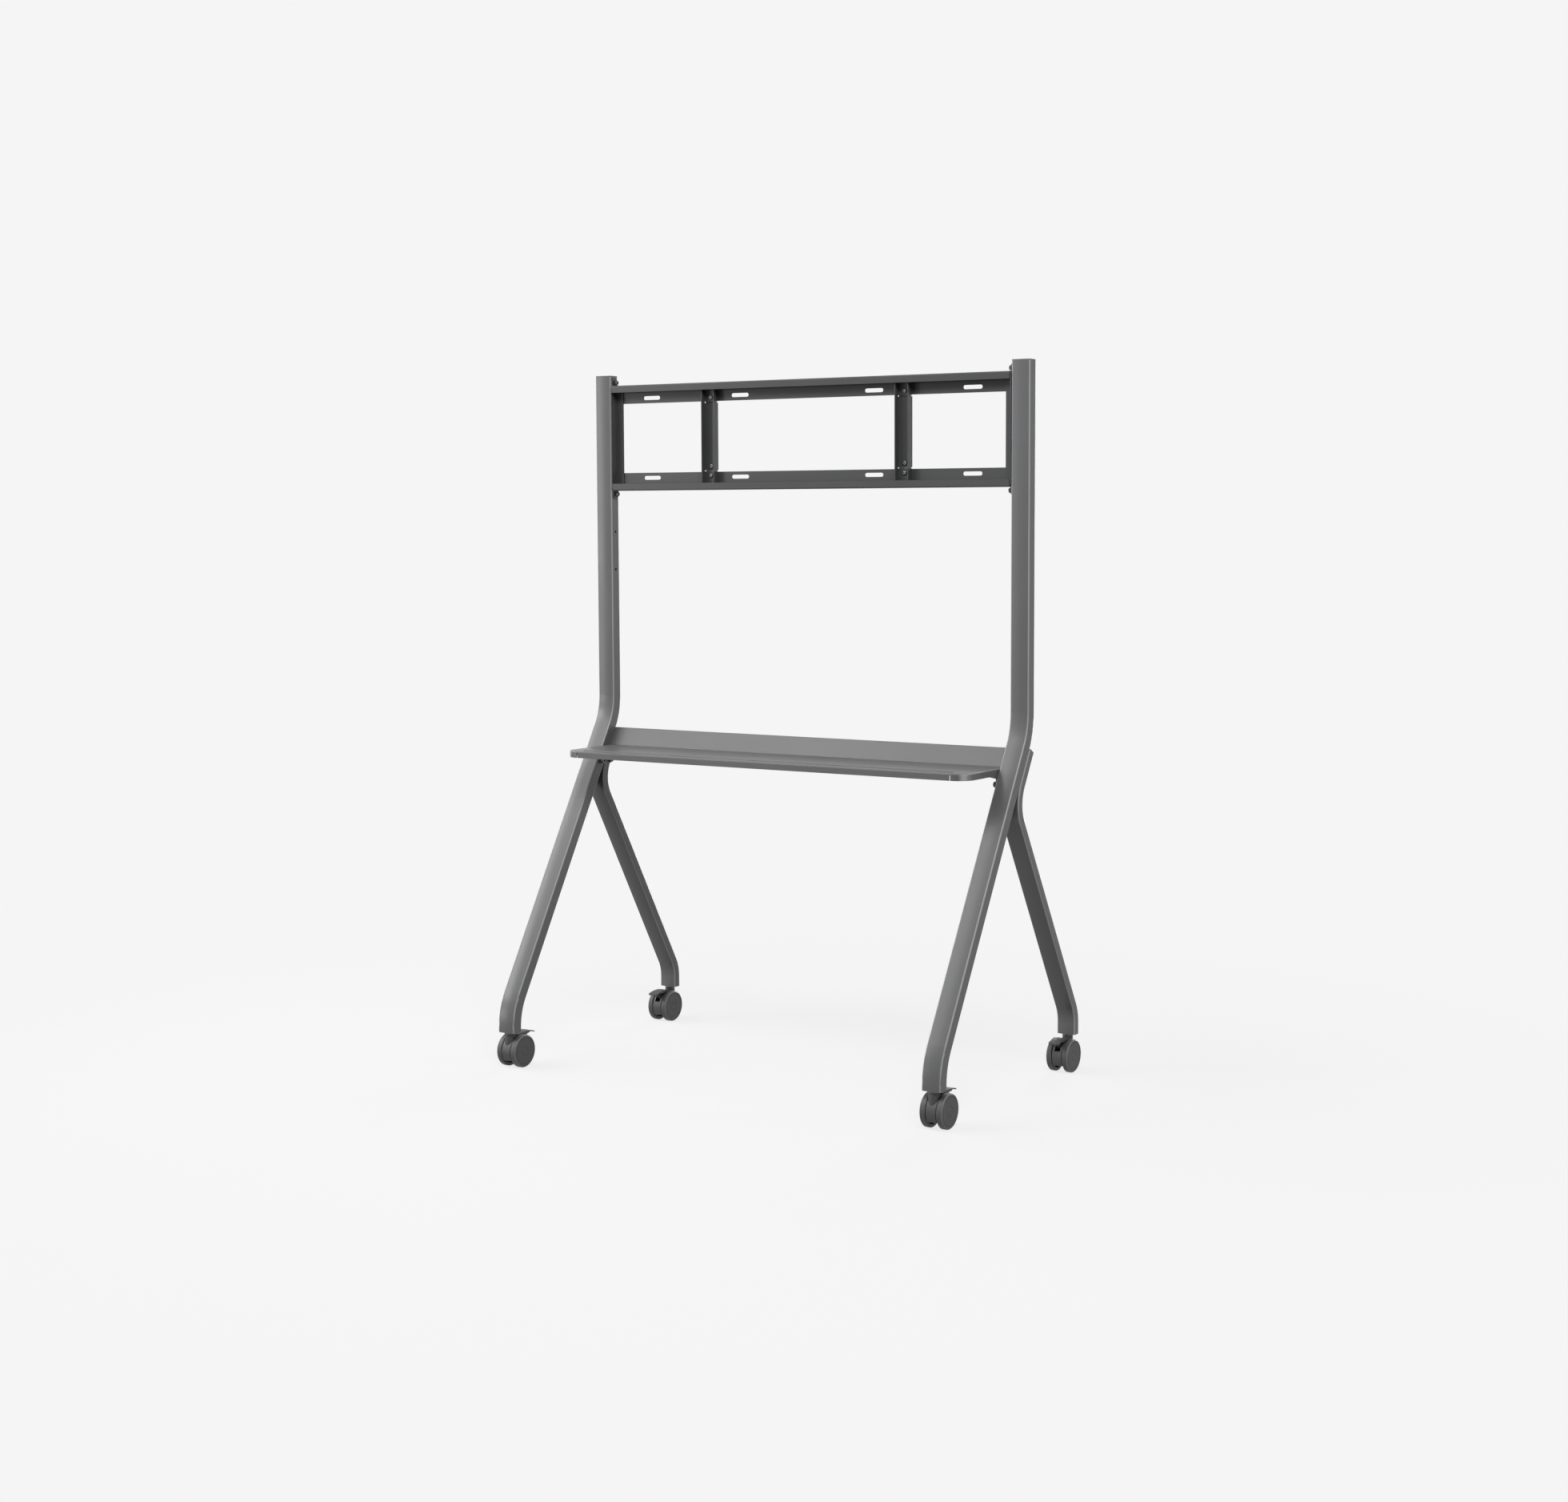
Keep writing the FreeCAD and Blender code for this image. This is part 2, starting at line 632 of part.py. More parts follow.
def shelf_ear(side):
    """The side's continuation down to the two shelf bolts, in the plane of the side flange."""
    x = side * shelf_side
    top = shelf_top - shelf_edge_radius
    upper = shelf_flange_bottom()
    lead = face_y(upper) - ear_lead
    narrow = upper - ear_step
    front_bolt, rear_bolt = ear_bolt_places(side)
    low = front_bolt.z - ear_tab
    tail = rear_bolt.y + ear_tab
    back = back_face_y(top) - 2 * sheet
    corners = [V(x, lead, top), V(x, lead, upper), V(x, face_y(narrow) + ear_step_inset, narrow),
               V(x, front_bolt.y - ear_tab, low), V(x, tail, low), V(x, tail, rear_bolt.z),
               V(x, back, upper), V(x, back, top)]
    radii = [0, 0, 0, ear_corner_radius, ear_corner_radius, 0, 0, 0]
    return plate(corners, radii, X * (-side * sheet))


def shelf_tray():
    front = -shelf_front_reach
    low = shelf_flange_bottom()
    back = back_face_y(shelf_top) - sheet
    full = [V(-shelf_side, front, low), V(shelf_side, front, low), V(shelf_side, back, low),
            V(-shelf_side, back, low)]
    block = plate(full, [shelf_corner_radius, shelf_corner_radius, 0, 0], Z * shelf_flange)
    block = fillet_where(block, shelf_edge_radius, lambda e: e.BoundBox.ZMin > shelf_top - overrun
                         and e.BoundBox.YMin < back - overrun)
    inset = sheet
    hollow = [V(-shelf_side + inset, front + inset, low - overrun),
              V(shelf_side - inset, front + inset, low - overrun),
              V(shelf_side - inset, back + overrun, low - overrun),
              V(-shelf_side + inset, back + overrun, low - overrun)]
    corner = shelf_corner_radius - inset
    block = block.cut(plate(hollow, [corner, corner, 0, 0], Z * (shelf_flange - sheet + overrun)))
    top = shelf_top + shelf_upstand
    under = shelf_top - sheet
    rise = [V(-shelf_side, back_face_y(top), top), V(-shelf_side, back_face_y(under), under),
            V(-shelf_side, back - shelf_flange, under)]
    upstand = Part.Face(folded(rise[::-1], sheet, sheet_bend)).extrude(X * (2 * shelf_side))
    tray = block.fuse([upstand, shelf_ear(-1), shelf_ear(1), shelf_bead()]).removeSplitter()
    cutters = []
    notch_x = shelf_side - shelf_corner_radius - shelf_notch_width / 2
    for side in (-1, 1):
        x = side * notch_x
        cutters.append(Part.makeBox(shelf_notch_width, 2 * sheet + overrun,
                                    shelf_flange - sheet - shelf_notch_skin + overrun,
                                    V(x - shelf_notch_width / 2, front - overrun, low - overrun)))
        for bolt in ear_bolt_places(side):
            middle = V(side * (shelf_side - sheet / 2), bolt.y, bolt.z)
            cutters.append(hole(shelf_screw[0] + bolt_clearance, middle, X, sheet + overrun))
    return tray.cut(cutters)


def shelf_bead():
    """A low pressed bead along the front that keeps things from sliding off."""
    y = -shelf_front_reach + bead_setback
    half = bead_width / 2
    length = shelf_side - bead_end_inset
    base = shelf_top - sheet / 2
    crest = shelf_top + bead_height
    corners = [V(-length, y - half, base), V(length, y - half, base), V(length, y + half, base),
               V(-length, y + half, base)]
    bead = plate(corners, [half * 0.999] * 4, Z * (crest - base))
    return fillet_where(bead, bead_height * 0.95, lambda e: e.BoundBox.ZMin > crest - overrun / 2)


def shelf_bolts():
    bolts = []
    for side in (-1, 1):
        for place in ear_bolt_places(side):
            seat = V(side * (shelf_side - sheet), place.y, place.z)
            bolts.append(cap_screw(shelf_screw, seat, X * side, sheet + seat_gap + tube_wall + bolt_tail))
    return Part.makeCompound(bolts)


# Casters. Each is drawn with its stem on the Z axis and its wheels trailing towards +Y, in the height
# that it has on the stand, and is then turned and moved to its leg.


def caster_stem():
    """Thread, collar and kingpin in one turned piece, fixed in the leg's socket."""
    collar_low = foot_height - collar_height
    stem = rod(stem_diameter / 2, V(0, 0, foot_height), Z, stem_length - seat_gap)
    collar = rod(collar_radius, V(0, 0, collar_low), Z, collar_height)
    collar = fillet_where(collar, body_edge_radius / 2, lambda e: e.Length > collar_radius)
    pin = rod(kingpin_diameter / 2, V(0, 0, kingpin_end_height), Z, collar_low - kingpin_end_height)
    return collar.fuse([stem, pin]).removeSplitter()


def caster_body():
    """A drum between the wheels, a round boss in front of it under the collar, a flat on top for the
    pedal and a mouth for the pedal's arm."""
    half = body_width / 2
    drum = rod(body_radius, V(-half, caster_trail, wheel_radius), X, body_width)
    drum = fillet_where(drum, body_edge_radius, lambda e: e.Length > body_radius)
    boss = rod(boss_radius, V(0, 0, wheel_radius), Z, body_top - wheel_radius)
    boss = fillet_where(boss, body_edge_radius / 2, lambda e: e.BoundBox.ZMin > body_top - overrun)
    body = drum.fuse(boss).removeSplitter()
    long = 4 * body_radius
    seat = pedal_start[1] - pedal_thickness - pedal_seat_gap
    seat_cut = Part.makeBox(long, long, long, V(-long / 2, boss_radius, seat))
    floor_cut = Part.makeBox(long, long, long, V(-long / 2, caster_trail - long / 2, body_floor_gap - long))
    mouth = Part.makeBox(mouth_width, long, long, V(-mouth_width / 2, mouth_back, mouth_bottom))
    bore = rod(kingpin_diameter / 2 + running_clearance, V(0, 0, kingpin_end_height - seat_gap), Z, long)
    axle_bore = hole(axle_diameter, V(0, caster_trail, wheel_radius), X, long)
    pin_bore = hole(pin_diameter, V(0, *pin_place), X, long)
    return body.cut([seat_cut, floor_cut, mouth, bore, axle_bore, pin_bore])


def caster_axle():
    length = caster_width - 2 * (wheel_face + wheel_play)
    return hole(axle_diameter, V(0, caster_trail, wheel_radius), X, length)


def caster_wheel(side):
    """A wheel with a closed outer face, two shallow rings on it, and a recess round the hub inside."""
    outer, inner = caster_width / 2, wheel_gap / 2
    width = outer - inner
    groove = [(radius + i * face_groove_width, depth) for radius in face_ring_radii
              for i, depth in ((0, 0), (0.25, face_groove), (0.75, face_groove), (1, 0))]
    bore = axle_diameter / 2 + running_clearance
    points = [(bore, inner), (bore, outer - wheel_face), (0, outer - wheel_face), (0, outer)]
    points += [(radius, outer - depth) for radius, depth in groove]
    points += [(wheel_radius - wheel_bevel, outer), (wheel_radius, outer - wheel_bevel),
               (wheel_radius, inner), (wheel_rim_radius, inner), (wheel_rim_radius, inner + wheel_recess),
               (wheel_hub_radius, inner + wheel_recess), (wheel_hub_radius, inner)]
    rounded = {(wheel_radius - wheel_bevel, outer): wheel_bevel / 2,
               (wheel_radius, outer - wheel_bevel): wheel_bevel / 2,
               (wheel_radius, inner): min(wheel_inner_edge, width / 3)}
    corners = [V(side * x, caster_trail, wheel_radius + radius) for radius, x in points]
    wire = outline(corners, [rounded.get(point, 0) for point in points])
    return Part.Face(wire).revolve(V(0, caster_trail, wheel_radius), X, FULL_TURN)


def pedal_arc(drop):
    """The blade's line from the stem to the tip, below its top face by the drop."""
    return Part.Arc(*[V(0, reach, height - drop) for reach, height in (pedal_start, pedal_crest, pedal_tip)])


def pedal_arc_point(drop, reach):
    """The point of the blade's line at a reach."""
    circle = pedal_arc(drop).toShape().Curve
    centre, radius = circle.Center, circle.Radius
    return V(0, reach, centre.z + math.sqrt(radius ** 2 - (reach - centre.y) ** 2))


def brake_pedal():
    """A curved blade with a rib under each long edge, and an arm down to the pin."""
    half = pedal_width / 2
    top, under = pedal_arc(0), pedal_arc(pedal_thickness)
    reaches = (pedal_start[0], pedal_tip[0])
    ends = [[pedal_arc_point(drop, reach) for reach in reaches] for drop in (0, pedal_thickness)]
    blade = Part.Wire([top.toShape(), Part.makeLine(ends[0][1], ends[1][1]), under.toShape(),
                       Part.makeLine(ends[1][0], ends[0][0])])
    blade = Part.Face(blade).extrude(X * pedal_width)
    blade.translate(X * -half)
    blade = fillet_where(blade, pedal_thickness * 1.5, lambda e: e.BoundBox.YMin > pedal_tip[0] - overrun
                         and e.BoundBox.XLength < overrun)
    middle = pedal_thickness / 2
    near, far = pedal_rib_start[0], pedal_rib_end[0] + pedal_rib_run_out
    corners = [pedal_arc_point(middle, near), V(0, *pedal_rib_start), V(0, *pedal_rib_end),
               pedal_arc_point(middle, far)]
    spine = Part.Arc(corners[3], pedal_arc_point(middle, (near + far) / 2), corners[0]).toShape()
    rib = Part.Wire([Part.makeLine(corners[0], corners[1]), Part.makeLine(corners[1], corners[2]),
                     Part.makeLine(corners[2], corners[3]), spine])
    ribs = []
    for x in (-half, half - pedal_rib):
        shape = Part.Face(rib).extrude(X * pedal_rib)
        shape.translate(X * x)
        ribs.append(shape)
    near, far = arm_head_reaches
    reach, height = pin_place
    radius = arm_root_radius
    arm = [pedal_arc_point(middle, near), pedal_arc_point(middle, far),
           V(0, reach + radius + arm_foot_offset, height - radius), V(0, reach, height - radius),
           V(0, reach - radius, height), V(0, reach, height + radius)]
    arm = plate(arm, [0, 0, radius, 0, 0, radius], X * arm_width)
    arm.translate(X * (-arm_width / 2))
    eye = rod(radius, V(-arm_width / 2, reach, height), X, arm_width)
    pedal = blade.fuse(ribs + [arm, eye]).removeSplitter()
    return pedal.cut(hole(pin_diameter + 2 * running_clearance, V(0, *pin_place), X, pedal_width))


def pedal_pin():
    return hole(pin_diameter, V(0, *pin_place), X, body_width - 2 * body_edge_radius)


def caster_nodes():
    """All casters' pieces: the front ones trail backward, and the rear ones are turned to trail forward."""
    pieces = {}
    for end, stem_y, turn in (("front", front_stem_y, 0.0), ("rear", rear_stem_y, HALF_TURN)):
        for side_name, side in (("left", -1), ("right", 1)):
            placement = FreeCAD.Placement(V(side * leg_x, stem_y, 0), FreeCAD.Rotation(Z, turn))
            drawn_side = 1 if turn == 0 else -1
            shapes = {"stem": caster_stem(), "body": caster_body(), "axle": caster_axle(),
                      "left_wheel": caster_wheel(-drawn_side), "right_wheel": caster_wheel(drawn_side),
                      "brake_pedal": brake_pedal(), "pedal_pin": pedal_pin()}
            for name, shape in shapes.items():
                shape.Placement = placement.multiply(shape.Placement)
                pieces["%s_%s_caster_%s" % (end, side_name, name)] = shape
    return pieces


def build():
    """Every piece by its name."""
    pieces = {}
    for name, side in (("left", -1), ("right", 1)):
        pieces[name + "_upright_leg"] = front_leg(side)
        pieces[name + "_rear_leg"] = rear_leg(side)
        pieces[name + "_upright_cap"] = end_cap(side, front_tube_depth, V(0, 0, tube_top), 0.0)
        pieces[name + "_rear_leg_cap"] = end_cap(side, rear_tube_depth, rear_leg_top(), slant_angle)
        pieces["front_%s_foot_socket" % name] = foot_socket(side, front_tube_depth, -foot_reach)
        pieces["rear_%s_foot_socket" % name] = foot_socket(side, rear_tube_depth, rear_foot_reach)
        pieces[name + "_end_bracket"] = end_bracket(side)
        pieces[name + "_post"] = post(side * post_x)
    pieces["upper_rail"] = rail(rail_top, -1, upper_plate_edge, upper_slot_z, upper_post_bolt_z)
    pieces["lower_rail"] = rail(rail_bottom, 1, lower_plate_edge, lower_slot_z, lower_post_bolt_z)
    pieces["rear_leg_bolts"] = lap_bolts()
    pieces["bracket_bolts"] = bracket_bolts()
    pieces["post_bolts"] = post_bolts()
    pieces["post_nuts"] = post_nuts()
    pieces["shelf_tray"] = shelf_tray()
    pieces["shelf_bolts"] = shelf_bolts()
    pieces.update(caster_nodes())
    return pieces


os.makedirs("parts", exist_ok=True)
for name, shape in build().items():
    shape.translate(Y * front_plane_y)
    shape.exportStep("parts/%s.step" % name)
    box = shape.BoundBox
    print("%-36s %d solids, valid %s, volume %.0f, z %.1f to %.1f" % (
        name, len(shape.Solids), shape.isValid(), shape.Volume, box.ZMin, box.ZMax))
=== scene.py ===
import json
import math

import bmesh
import bpy
from bpy.props import FloatProperty, FloatVectorProperty, IntProperty, PointerProperty
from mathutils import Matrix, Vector


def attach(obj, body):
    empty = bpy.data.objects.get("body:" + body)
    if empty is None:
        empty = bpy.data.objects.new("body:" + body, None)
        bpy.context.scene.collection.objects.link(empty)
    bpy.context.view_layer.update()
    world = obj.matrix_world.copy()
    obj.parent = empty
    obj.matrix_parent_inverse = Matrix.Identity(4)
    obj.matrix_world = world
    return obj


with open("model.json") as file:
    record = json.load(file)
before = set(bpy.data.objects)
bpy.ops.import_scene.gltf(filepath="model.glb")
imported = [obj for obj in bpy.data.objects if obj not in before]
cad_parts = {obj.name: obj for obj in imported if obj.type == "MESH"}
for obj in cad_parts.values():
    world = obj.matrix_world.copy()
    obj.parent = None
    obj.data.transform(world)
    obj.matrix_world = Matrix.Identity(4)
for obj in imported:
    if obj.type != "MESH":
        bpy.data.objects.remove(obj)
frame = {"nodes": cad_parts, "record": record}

bl_info = {
    "name": "Mobile Screen Stand",
    "version": (1, 0, 0),
    "blender": (4, 5, 0),
    "location": "3D View > Sidebar > Screen Stand",
    "description": "Dresses the CAD frame of a mobile screen stand with coatings, plastics and small parts",
    "category": "Object",
}

NODES = frame["nodes"]
SLOTS = {entry["node"]: entry["material_slot"] for entry in frame["record"]["subparts"]}
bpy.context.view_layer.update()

# How the fasteners' meshes are read, in metres
SAME_POINT = 0.00001        # vertices that lie nearer to each other count as one
BOLT_TAIL = 0.0015          # length of the end that a bolt's shank radius is measured on
HEAD_RADIUS_SHARE = 0.8     # vertices beyond this share of a screw's radius are on its head

# The finishes
FINE_GRAIN_RATIO = 3.7      # how many times finer the fine grain is than the coarse one
GRAIN_STRENGTH = 0.35
DUST_COLOR = (0.32, 0.31, 0.3, 1.0)

# The lamps: name, setting with the power, size, turn from the front to the right in degrees, distance
# from the middle, height, and the height on the middle line that the lamp points at
LAMPS = (
    ("Far light", "far_power", (2.6, 2.4), -49, 12.0, 1.2, 1.2),
    ("Tall light", "tall_power", (2.6, 2.4), -55, 10.0, 5.0, 1.0),
    ("High light", "high_power", (2.4, 1.6), -40, 3.8, 4.4, 0.9),
    ("Left light", "left_power", (2.4, 1.6), -80, 3.8, 2.6, 0.9),
    ("Front light", "front_power", (2.4, 1.6), 40, 3.8, 4.4, 0.9),
    ("Low light", "low_power", (0.8, 1.6), 104, 6.0, 1.1, 0.9),
    ("Back light", "back_power", (2.4, 2.4), 184, 5.0, 1.3, 0.9),
)


# Settings

class FinishSettings(bpy.types.PropertyGroup):
    """Colours and textures of the stand's finishes."""
    coating_color: FloatVectorProperty(
        name="Coating", description="Colour of the powder coating on tubes and sheet metal",
        subtype="COLOR", size=3, min=0.0, max=1.0, default=(0.125, 0.126, 0.129))
    coating_grain: FloatProperty(
        name="Coating grain", description="Size of the orange peel in the powder coating",
        default=0.0016, min=0.0003, max=0.01, unit="LENGTH", subtype="DISTANCE")
    screen_frame_color: FloatVectorProperty(
        name="Screen frame", description="Colour of the coating on rails, posts and brackets",
        subtype="COLOR", size=3, min=0.0, max=1.0, default=(0.066, 0.067, 0.069))
    wheel_color: FloatVectorProperty(
        name="Wheels", description="Colour of the casters' wheels",
        subtype="COLOR", size=3, min=0.0, max=1.0, default=(0.027, 0.027, 0.028))
    housing_color: FloatVectorProperty(
        name="Caster housings", description="Colour of the casters' housings",
        subtype="COLOR", size=3, min=0.0, max=1.0, default=(0.05, 0.05, 0.051))
    pedal_color: FloatVectorProperty(
        name="Pedals", description="Colour of the brake pedals",
        subtype="COLOR", size=3, min=0.0, max=1.0, default=(0.037, 0.037, 0.038))
    cap_color: FloatVectorProperty(
        name="Caps", description="Colour of the plastic caps and sockets in the tubes' ends",
        subtype="COLOR", size=3, min=0.0, max=1.0, default=(0.1, 0.1, 0.102))
    bolt_color: FloatVectorProperty(
        name="Fasteners", description="Colour of the blackened bolts and nuts",
        subtype="COLOR", size=3, min=0.0, max=1.0, default=(0.11, 0.11, 0.113))
    polished_color: FloatVectorProperty(
        name="Post bolts", description="Colour of the glossier bolts in the posts",
        subtype="COLOR", size=3, min=0.0, max=1.0, default=(0.17, 0.17, 0.175))
    zinc_color: FloatVectorProperty(
        name="Zinc", description="Colour of the bright zinc plating on stems, axles and pins",
        subtype="COLOR", size=3, min=0.0, max=1.0, default=(0.5, 0.51, 0.52))


class KnurlSettings(bpy.types.PropertyGroup):
    """The ridges round the tall heads of the shelf and bracket screws."""
    ridges: IntProperty(
        name="Ridges", description="Number of ridges round one head", default=36, min=8, max=80)
    ridge_size: FloatProperty(
        name="Ridge size", description="Width of a ridge's square section", default=0.00055,
        min=0.0001, max=0.002, unit="LENGTH", subtype="DISTANCE")
    length_share: FloatProperty(
        name="Length share", description="Length of a ridge as a share of the head's height",
        default=0.68, min=0.1, max=1.0, subtype="FACTOR")


class ThreadSettings(bpy.types.PropertyGroup):
    """The turns of thread on the ends of the post bolts, behind their nuts."""
    turns: IntProperty(name="Turns", description="Turns of thread to see", default=2, min=1, max=20)
    pitch: FloatProperty(
        name="Pitch", description="Distance from turn to turn", default=0.0005,
        min=0.0001, max=0.004, unit="LENGTH", subtype="DISTANCE")
    depth: FloatProperty(
        name="Depth", description="Half the height of a turn's section", default=0.00015,
        min=0.00005, max=0.001, unit="LENGTH", subtype="DISTANCE")
    from_end: FloatProperty(
        name="From end", description="Distance from a bolt's end to the first turn", default=0.00025,
        min=0.0, max=0.01, unit="LENGTH", subtype="DISTANCE")


class StageSettings(bpy.types.PropertyGroup):
    """Camera, floor and studio light."""
    camera_place: FloatVectorProperty(
        name="Camera", description="Where the camera stands",
        subtype="TRANSLATION", unit="LENGTH", size=3, default=(2.8249, -4.3779, 1.2251))
    camera_azimuth: FloatProperty(
        name="Azimuth", description="How far the camera is turned to the stand's right side",
        default=math.radians(30.0), subtype="ANGLE")
    camera_elevation: FloatProperty(
        name="Elevation", description="How steeply the camera looks down",
        default=math.radians(5.0), subtype="ANGLE")
    camera_lens: FloatProperty(
        name="Lens", description="Focal length in mm", default=53.31, min=10.0, max=200.0)
    camera_shift: FloatVectorProperty(
        name="Shift", description="Shift of the picture, as a share of its longer side",
        size=2, default=(-0.0750, -0.01225))
    floor_size: FloatProperty(
        name="Floor", description="Side of the square floor", default=40.0, min=4.0, max=200.0,
        unit="LENGTH", subtype="DISTANCE")
    background: FloatProperty(
        name="Background", description="Brightness of floor and background", default=0.9131,
        min=0.0, max=1.0)
    floor_bounce: FloatProperty(
        name="Floor bounce", description="How much light the floor throws back on the stand",
        default=0.2, min=0.0, max=1.0, subtype="FACTOR")
    shadow_share: FloatProperty(
        name="Floor shadow", description="How much of the floor's real shading shows near the stand",
        default=0.14, min=0.0, max=1.0, subtype="FACTOR")
    shadow_reach: FloatVectorProperty(
        name="Shadow reach",
        description="Distances at which the floor's shading starts to fade and is gone",
        size=2, min=0.0, default=(0.8, 2.2), unit="LENGTH", subtype="NONE")
    far_power: FloatProperty(
        name="Far light", description="Power of the low soft light far at the left", default=222.0,
        min=0.0, unit="POWER")
    tall_power: FloatProperty(
        name="Tall light", description="Power of the high soft light far at the left", default=267.0,
        min=0.0, unit="POWER")
    high_power: FloatProperty(
        name="High light", description="Power of the soft light high at the left", default=75.0,
        min=0.0, unit="POWER")
    left_power: FloatProperty(
        name="Left light", description="Power of the soft light at the left side", default=77.0,
        min=0.0, unit="POWER")
    front_power: FloatProperty(
        name="Front light", description="Power of the soft light high behind the camera", default=173.0,
        min=0.0, unit="POWER")
    low_power: FloatProperty(
        name="Low light", description="Power of the narrow low light at the right", default=59.0,
        min=0.0, unit="POWER")
    back_power: FloatProperty(
        name="Back light", description="Power of the soft low light behind the stand", default=148.0,
        min=0.0, unit="POWER")


# Node helpers

def place(tree, kind, inputs=None, **settings):
    """Adds a shader node, sets its settings and its inputs, and links the inputs that are sockets."""
    node = tree.nodes.new(kind)
    for name, value in settings.items():
        setattr(node, name, value)
    for key, value in (inputs or {}).items():
        socket = node.inputs[key]
        if isinstance(value, bpy.types.NodeSocket):
            tree.links.new(value, socket)
        else:
            socket.default_value = value
    return node


def shader_group(name, inputs, outputs):
    """An empty shader group with its sockets, its input node and its output node."""
    group = bpy.data.node_groups.new(name, "ShaderNodeTree")
    for label, kind, value in inputs:
        socket = group.interface.new_socket(name=label, in_out="INPUT", socket_type=kind)
        if value is not None:
            socket.default_value = value
    for label, kind in outputs:
        group.interface.new_socket(name=label, in_out="OUTPUT", socket_type=kind)
    return group, group.nodes.new("NodeGroupInput"), group.nodes.new("NodeGroupOutput")


def grain_group():
    """Fine random bumps, as in powder coating, spark-eroded plastic or blackened steel."""
    if "Surface grain" in bpy.data.node_groups:
        return bpy.data.node_groups["Surface grain"]
    group, entry, leave = shader_group(
        "Surface grain",
        [("Grain size", "NodeSocketFloat", 0.001), ("Fine share", "NodeSocketFloat", 0.4)],
        [("Height", "NodeSocketFloat"), ("Speck", "NodeSocketFloat")])
    where = place(group, "ShaderNodeTexCoord")
    scale = place(group, "ShaderNodeMath", {0: 1.0, 1: entry.outputs["Grain size"]}, operation="DIVIDE")
    fine_scale = place(group, "ShaderNodeMath", {0: scale.outputs[0], 1: FINE_GRAIN_RATIO},
                       operation="MULTIPLY")
    coarse = place(group, "ShaderNodeTexNoise", {"Vector": where.outputs["Object"],
                                                 "Scale": scale.outputs[0],
                                                 "Detail": 2.0, "Roughness": 0.5})
    fine = place(group, "ShaderNodeTexNoise", {"Vector": where.outputs["Object"],
                                               "Scale": fine_scale.outputs[0],
                                               "Detail": 1.0, "Roughness": 0.6})
    both = place(group, "ShaderNodeMix", {"Factor": entry.outputs["Fine share"], "A": coarse.outputs["Fac"],
                                          "B": fine.outputs["Fac"]}, data_type="FLOAT")
    group.links.new(both.outputs["Result"], leave.inputs["Height"])
    speck = place(group, "ShaderNodeMapRange", {"Value": fine.outputs["Fac"], "From Min": 0.35,
                                                "From Max": 0.65, "To Min": 0.0, "To Max": 1.0})
    group.links.new(speck.outputs["Result"], leave.inputs["Speck"])
    return group


def handling_group():
    """Wide faint patches from handling and cleaning, and a little dust on faces that look up."""
    if "Handling" in bpy.data.node_groups:
        return bpy.data.node_groups["Handling"]
    group, entry, leave = shader_group(
        "Handling",
        [("Patch size", "NodeSocketFloat", 0.15), ("Dust", "NodeSocketFloat", 0.2)],
        [("Patches", "NodeSocketFloat"), ("Dust", "NodeSocketFloat")])
    where = place(group, "ShaderNodeTexCoord")
    scale = place(group, "ShaderNodeMath", {0: 1.0, 1: entry.outputs["Patch size"]}, operation="DIVIDE")
    noise = place(group, "ShaderNodeTexNoise", {"Vector": where.outputs["Object"],
                                                "Scale": scale.outputs[0],
                                                "Detail": 4.0, "Roughness": 0.55, "Distortion": 0.4})
    patches = place(group, "ShaderNodeMapRange", {"Value": noise.outputs["Fac"], "From Min": 0.3,
                                                  "From Max": 0.7, "To Min": 0.0, "To Max": 1.0})
    group.links.new(patches.outputs["Result"], leave.inputs["Patches"])
    facing = place(group, "ShaderNodeNewGeometry")
    split = place(group, "ShaderNodeSeparateXYZ", {0: facing.outputs["Normal"]})
    up = place(group, "ShaderNodeMapRange", {"Value": split.outputs["Z"], "From Min": 0.6, "From Max": 1.0,
                                             "To Min": 0.0, "To Max": 1.0})
    settled = place(group, "ShaderNodeMath", {0: up.outputs["Result"], 1: patches.outputs["Result"]},
                    operation="MULTIPLY")
    amount = place(group, "ShaderNodeMath", {0: settled.outputs[0], 1: entry.outputs["Dust"]},
                   operation="MULTIPLY")
    group.links.new(amount.outputs[0], leave.inputs["Dust"])
    return group


def facing_group(name, start, rise, fall, end, level=0.0):
    """A mask by how far a face turns to the piece's X axis: from a level it goes up to 1 between start
    and rise, and down to 0 between fall and end."""
    if name in bpy.data.node_groups:
        return bpy.data.node_groups[name]
    group, entry, leave = shader_group(name, [], [("Mask", "NodeSocketFloat")])
    where = place(group, "ShaderNodeTexCoord")
    split = place(group, "ShaderNodeSeparateXYZ", {0: where.outputs["Normal"]})
    turn = place(group, "ShaderNodeMath", {0: split.outputs["X"]}, operation="ABSOLUTE")
    up = place(group, "ShaderNodeMapRange", {"Value": turn.outputs[0], "From Min": start, "From Max": rise,
                                             "To Min": level},
               interpolation_type="SMOOTHSTEP")
    down = place(group, "ShaderNodeMapRange", {"Value": turn.outputs[0], "From Min": fall, "From Max": end,
                                               "To Min": 1.0, "To Max": 0.0},
                 interpolation_type="SMOOTHSTEP")
    both = place(group, "ShaderNodeMath", {0: up.outputs["Result"], 1: down.outputs["Result"]},
                 operation="MULTIPLY")
    group.links.new(both.outputs[0], leave.inputs["Mask"])
    return group


def painted_corner_highlights_group():
    """The rounded long corners of the tubes, where a highlight is painted into the coating's colour."""
    return facing_group("Rounded corners", start=0.22, rise=0.4, fall=0.85, end=0.98)


def shelf_highlight_group():
    """The middle of the shelf's two rounded corners, where a highlight is painted into the coating's
    colour.
    """
    return facing_group("Shelf corners", start=0.4, rise=0.7, fall=0.72, end=0.96)


def rim_highlight_group():
    """The rounded rim of a wheel and, less, its running surface, without the closed side face: where a
    highlight is painted into the nylon's colour.
    """
    return facing_group("Wheel rims", start=0.5, rise=0.62, fall=0.92, end=0.985, level=0.21)


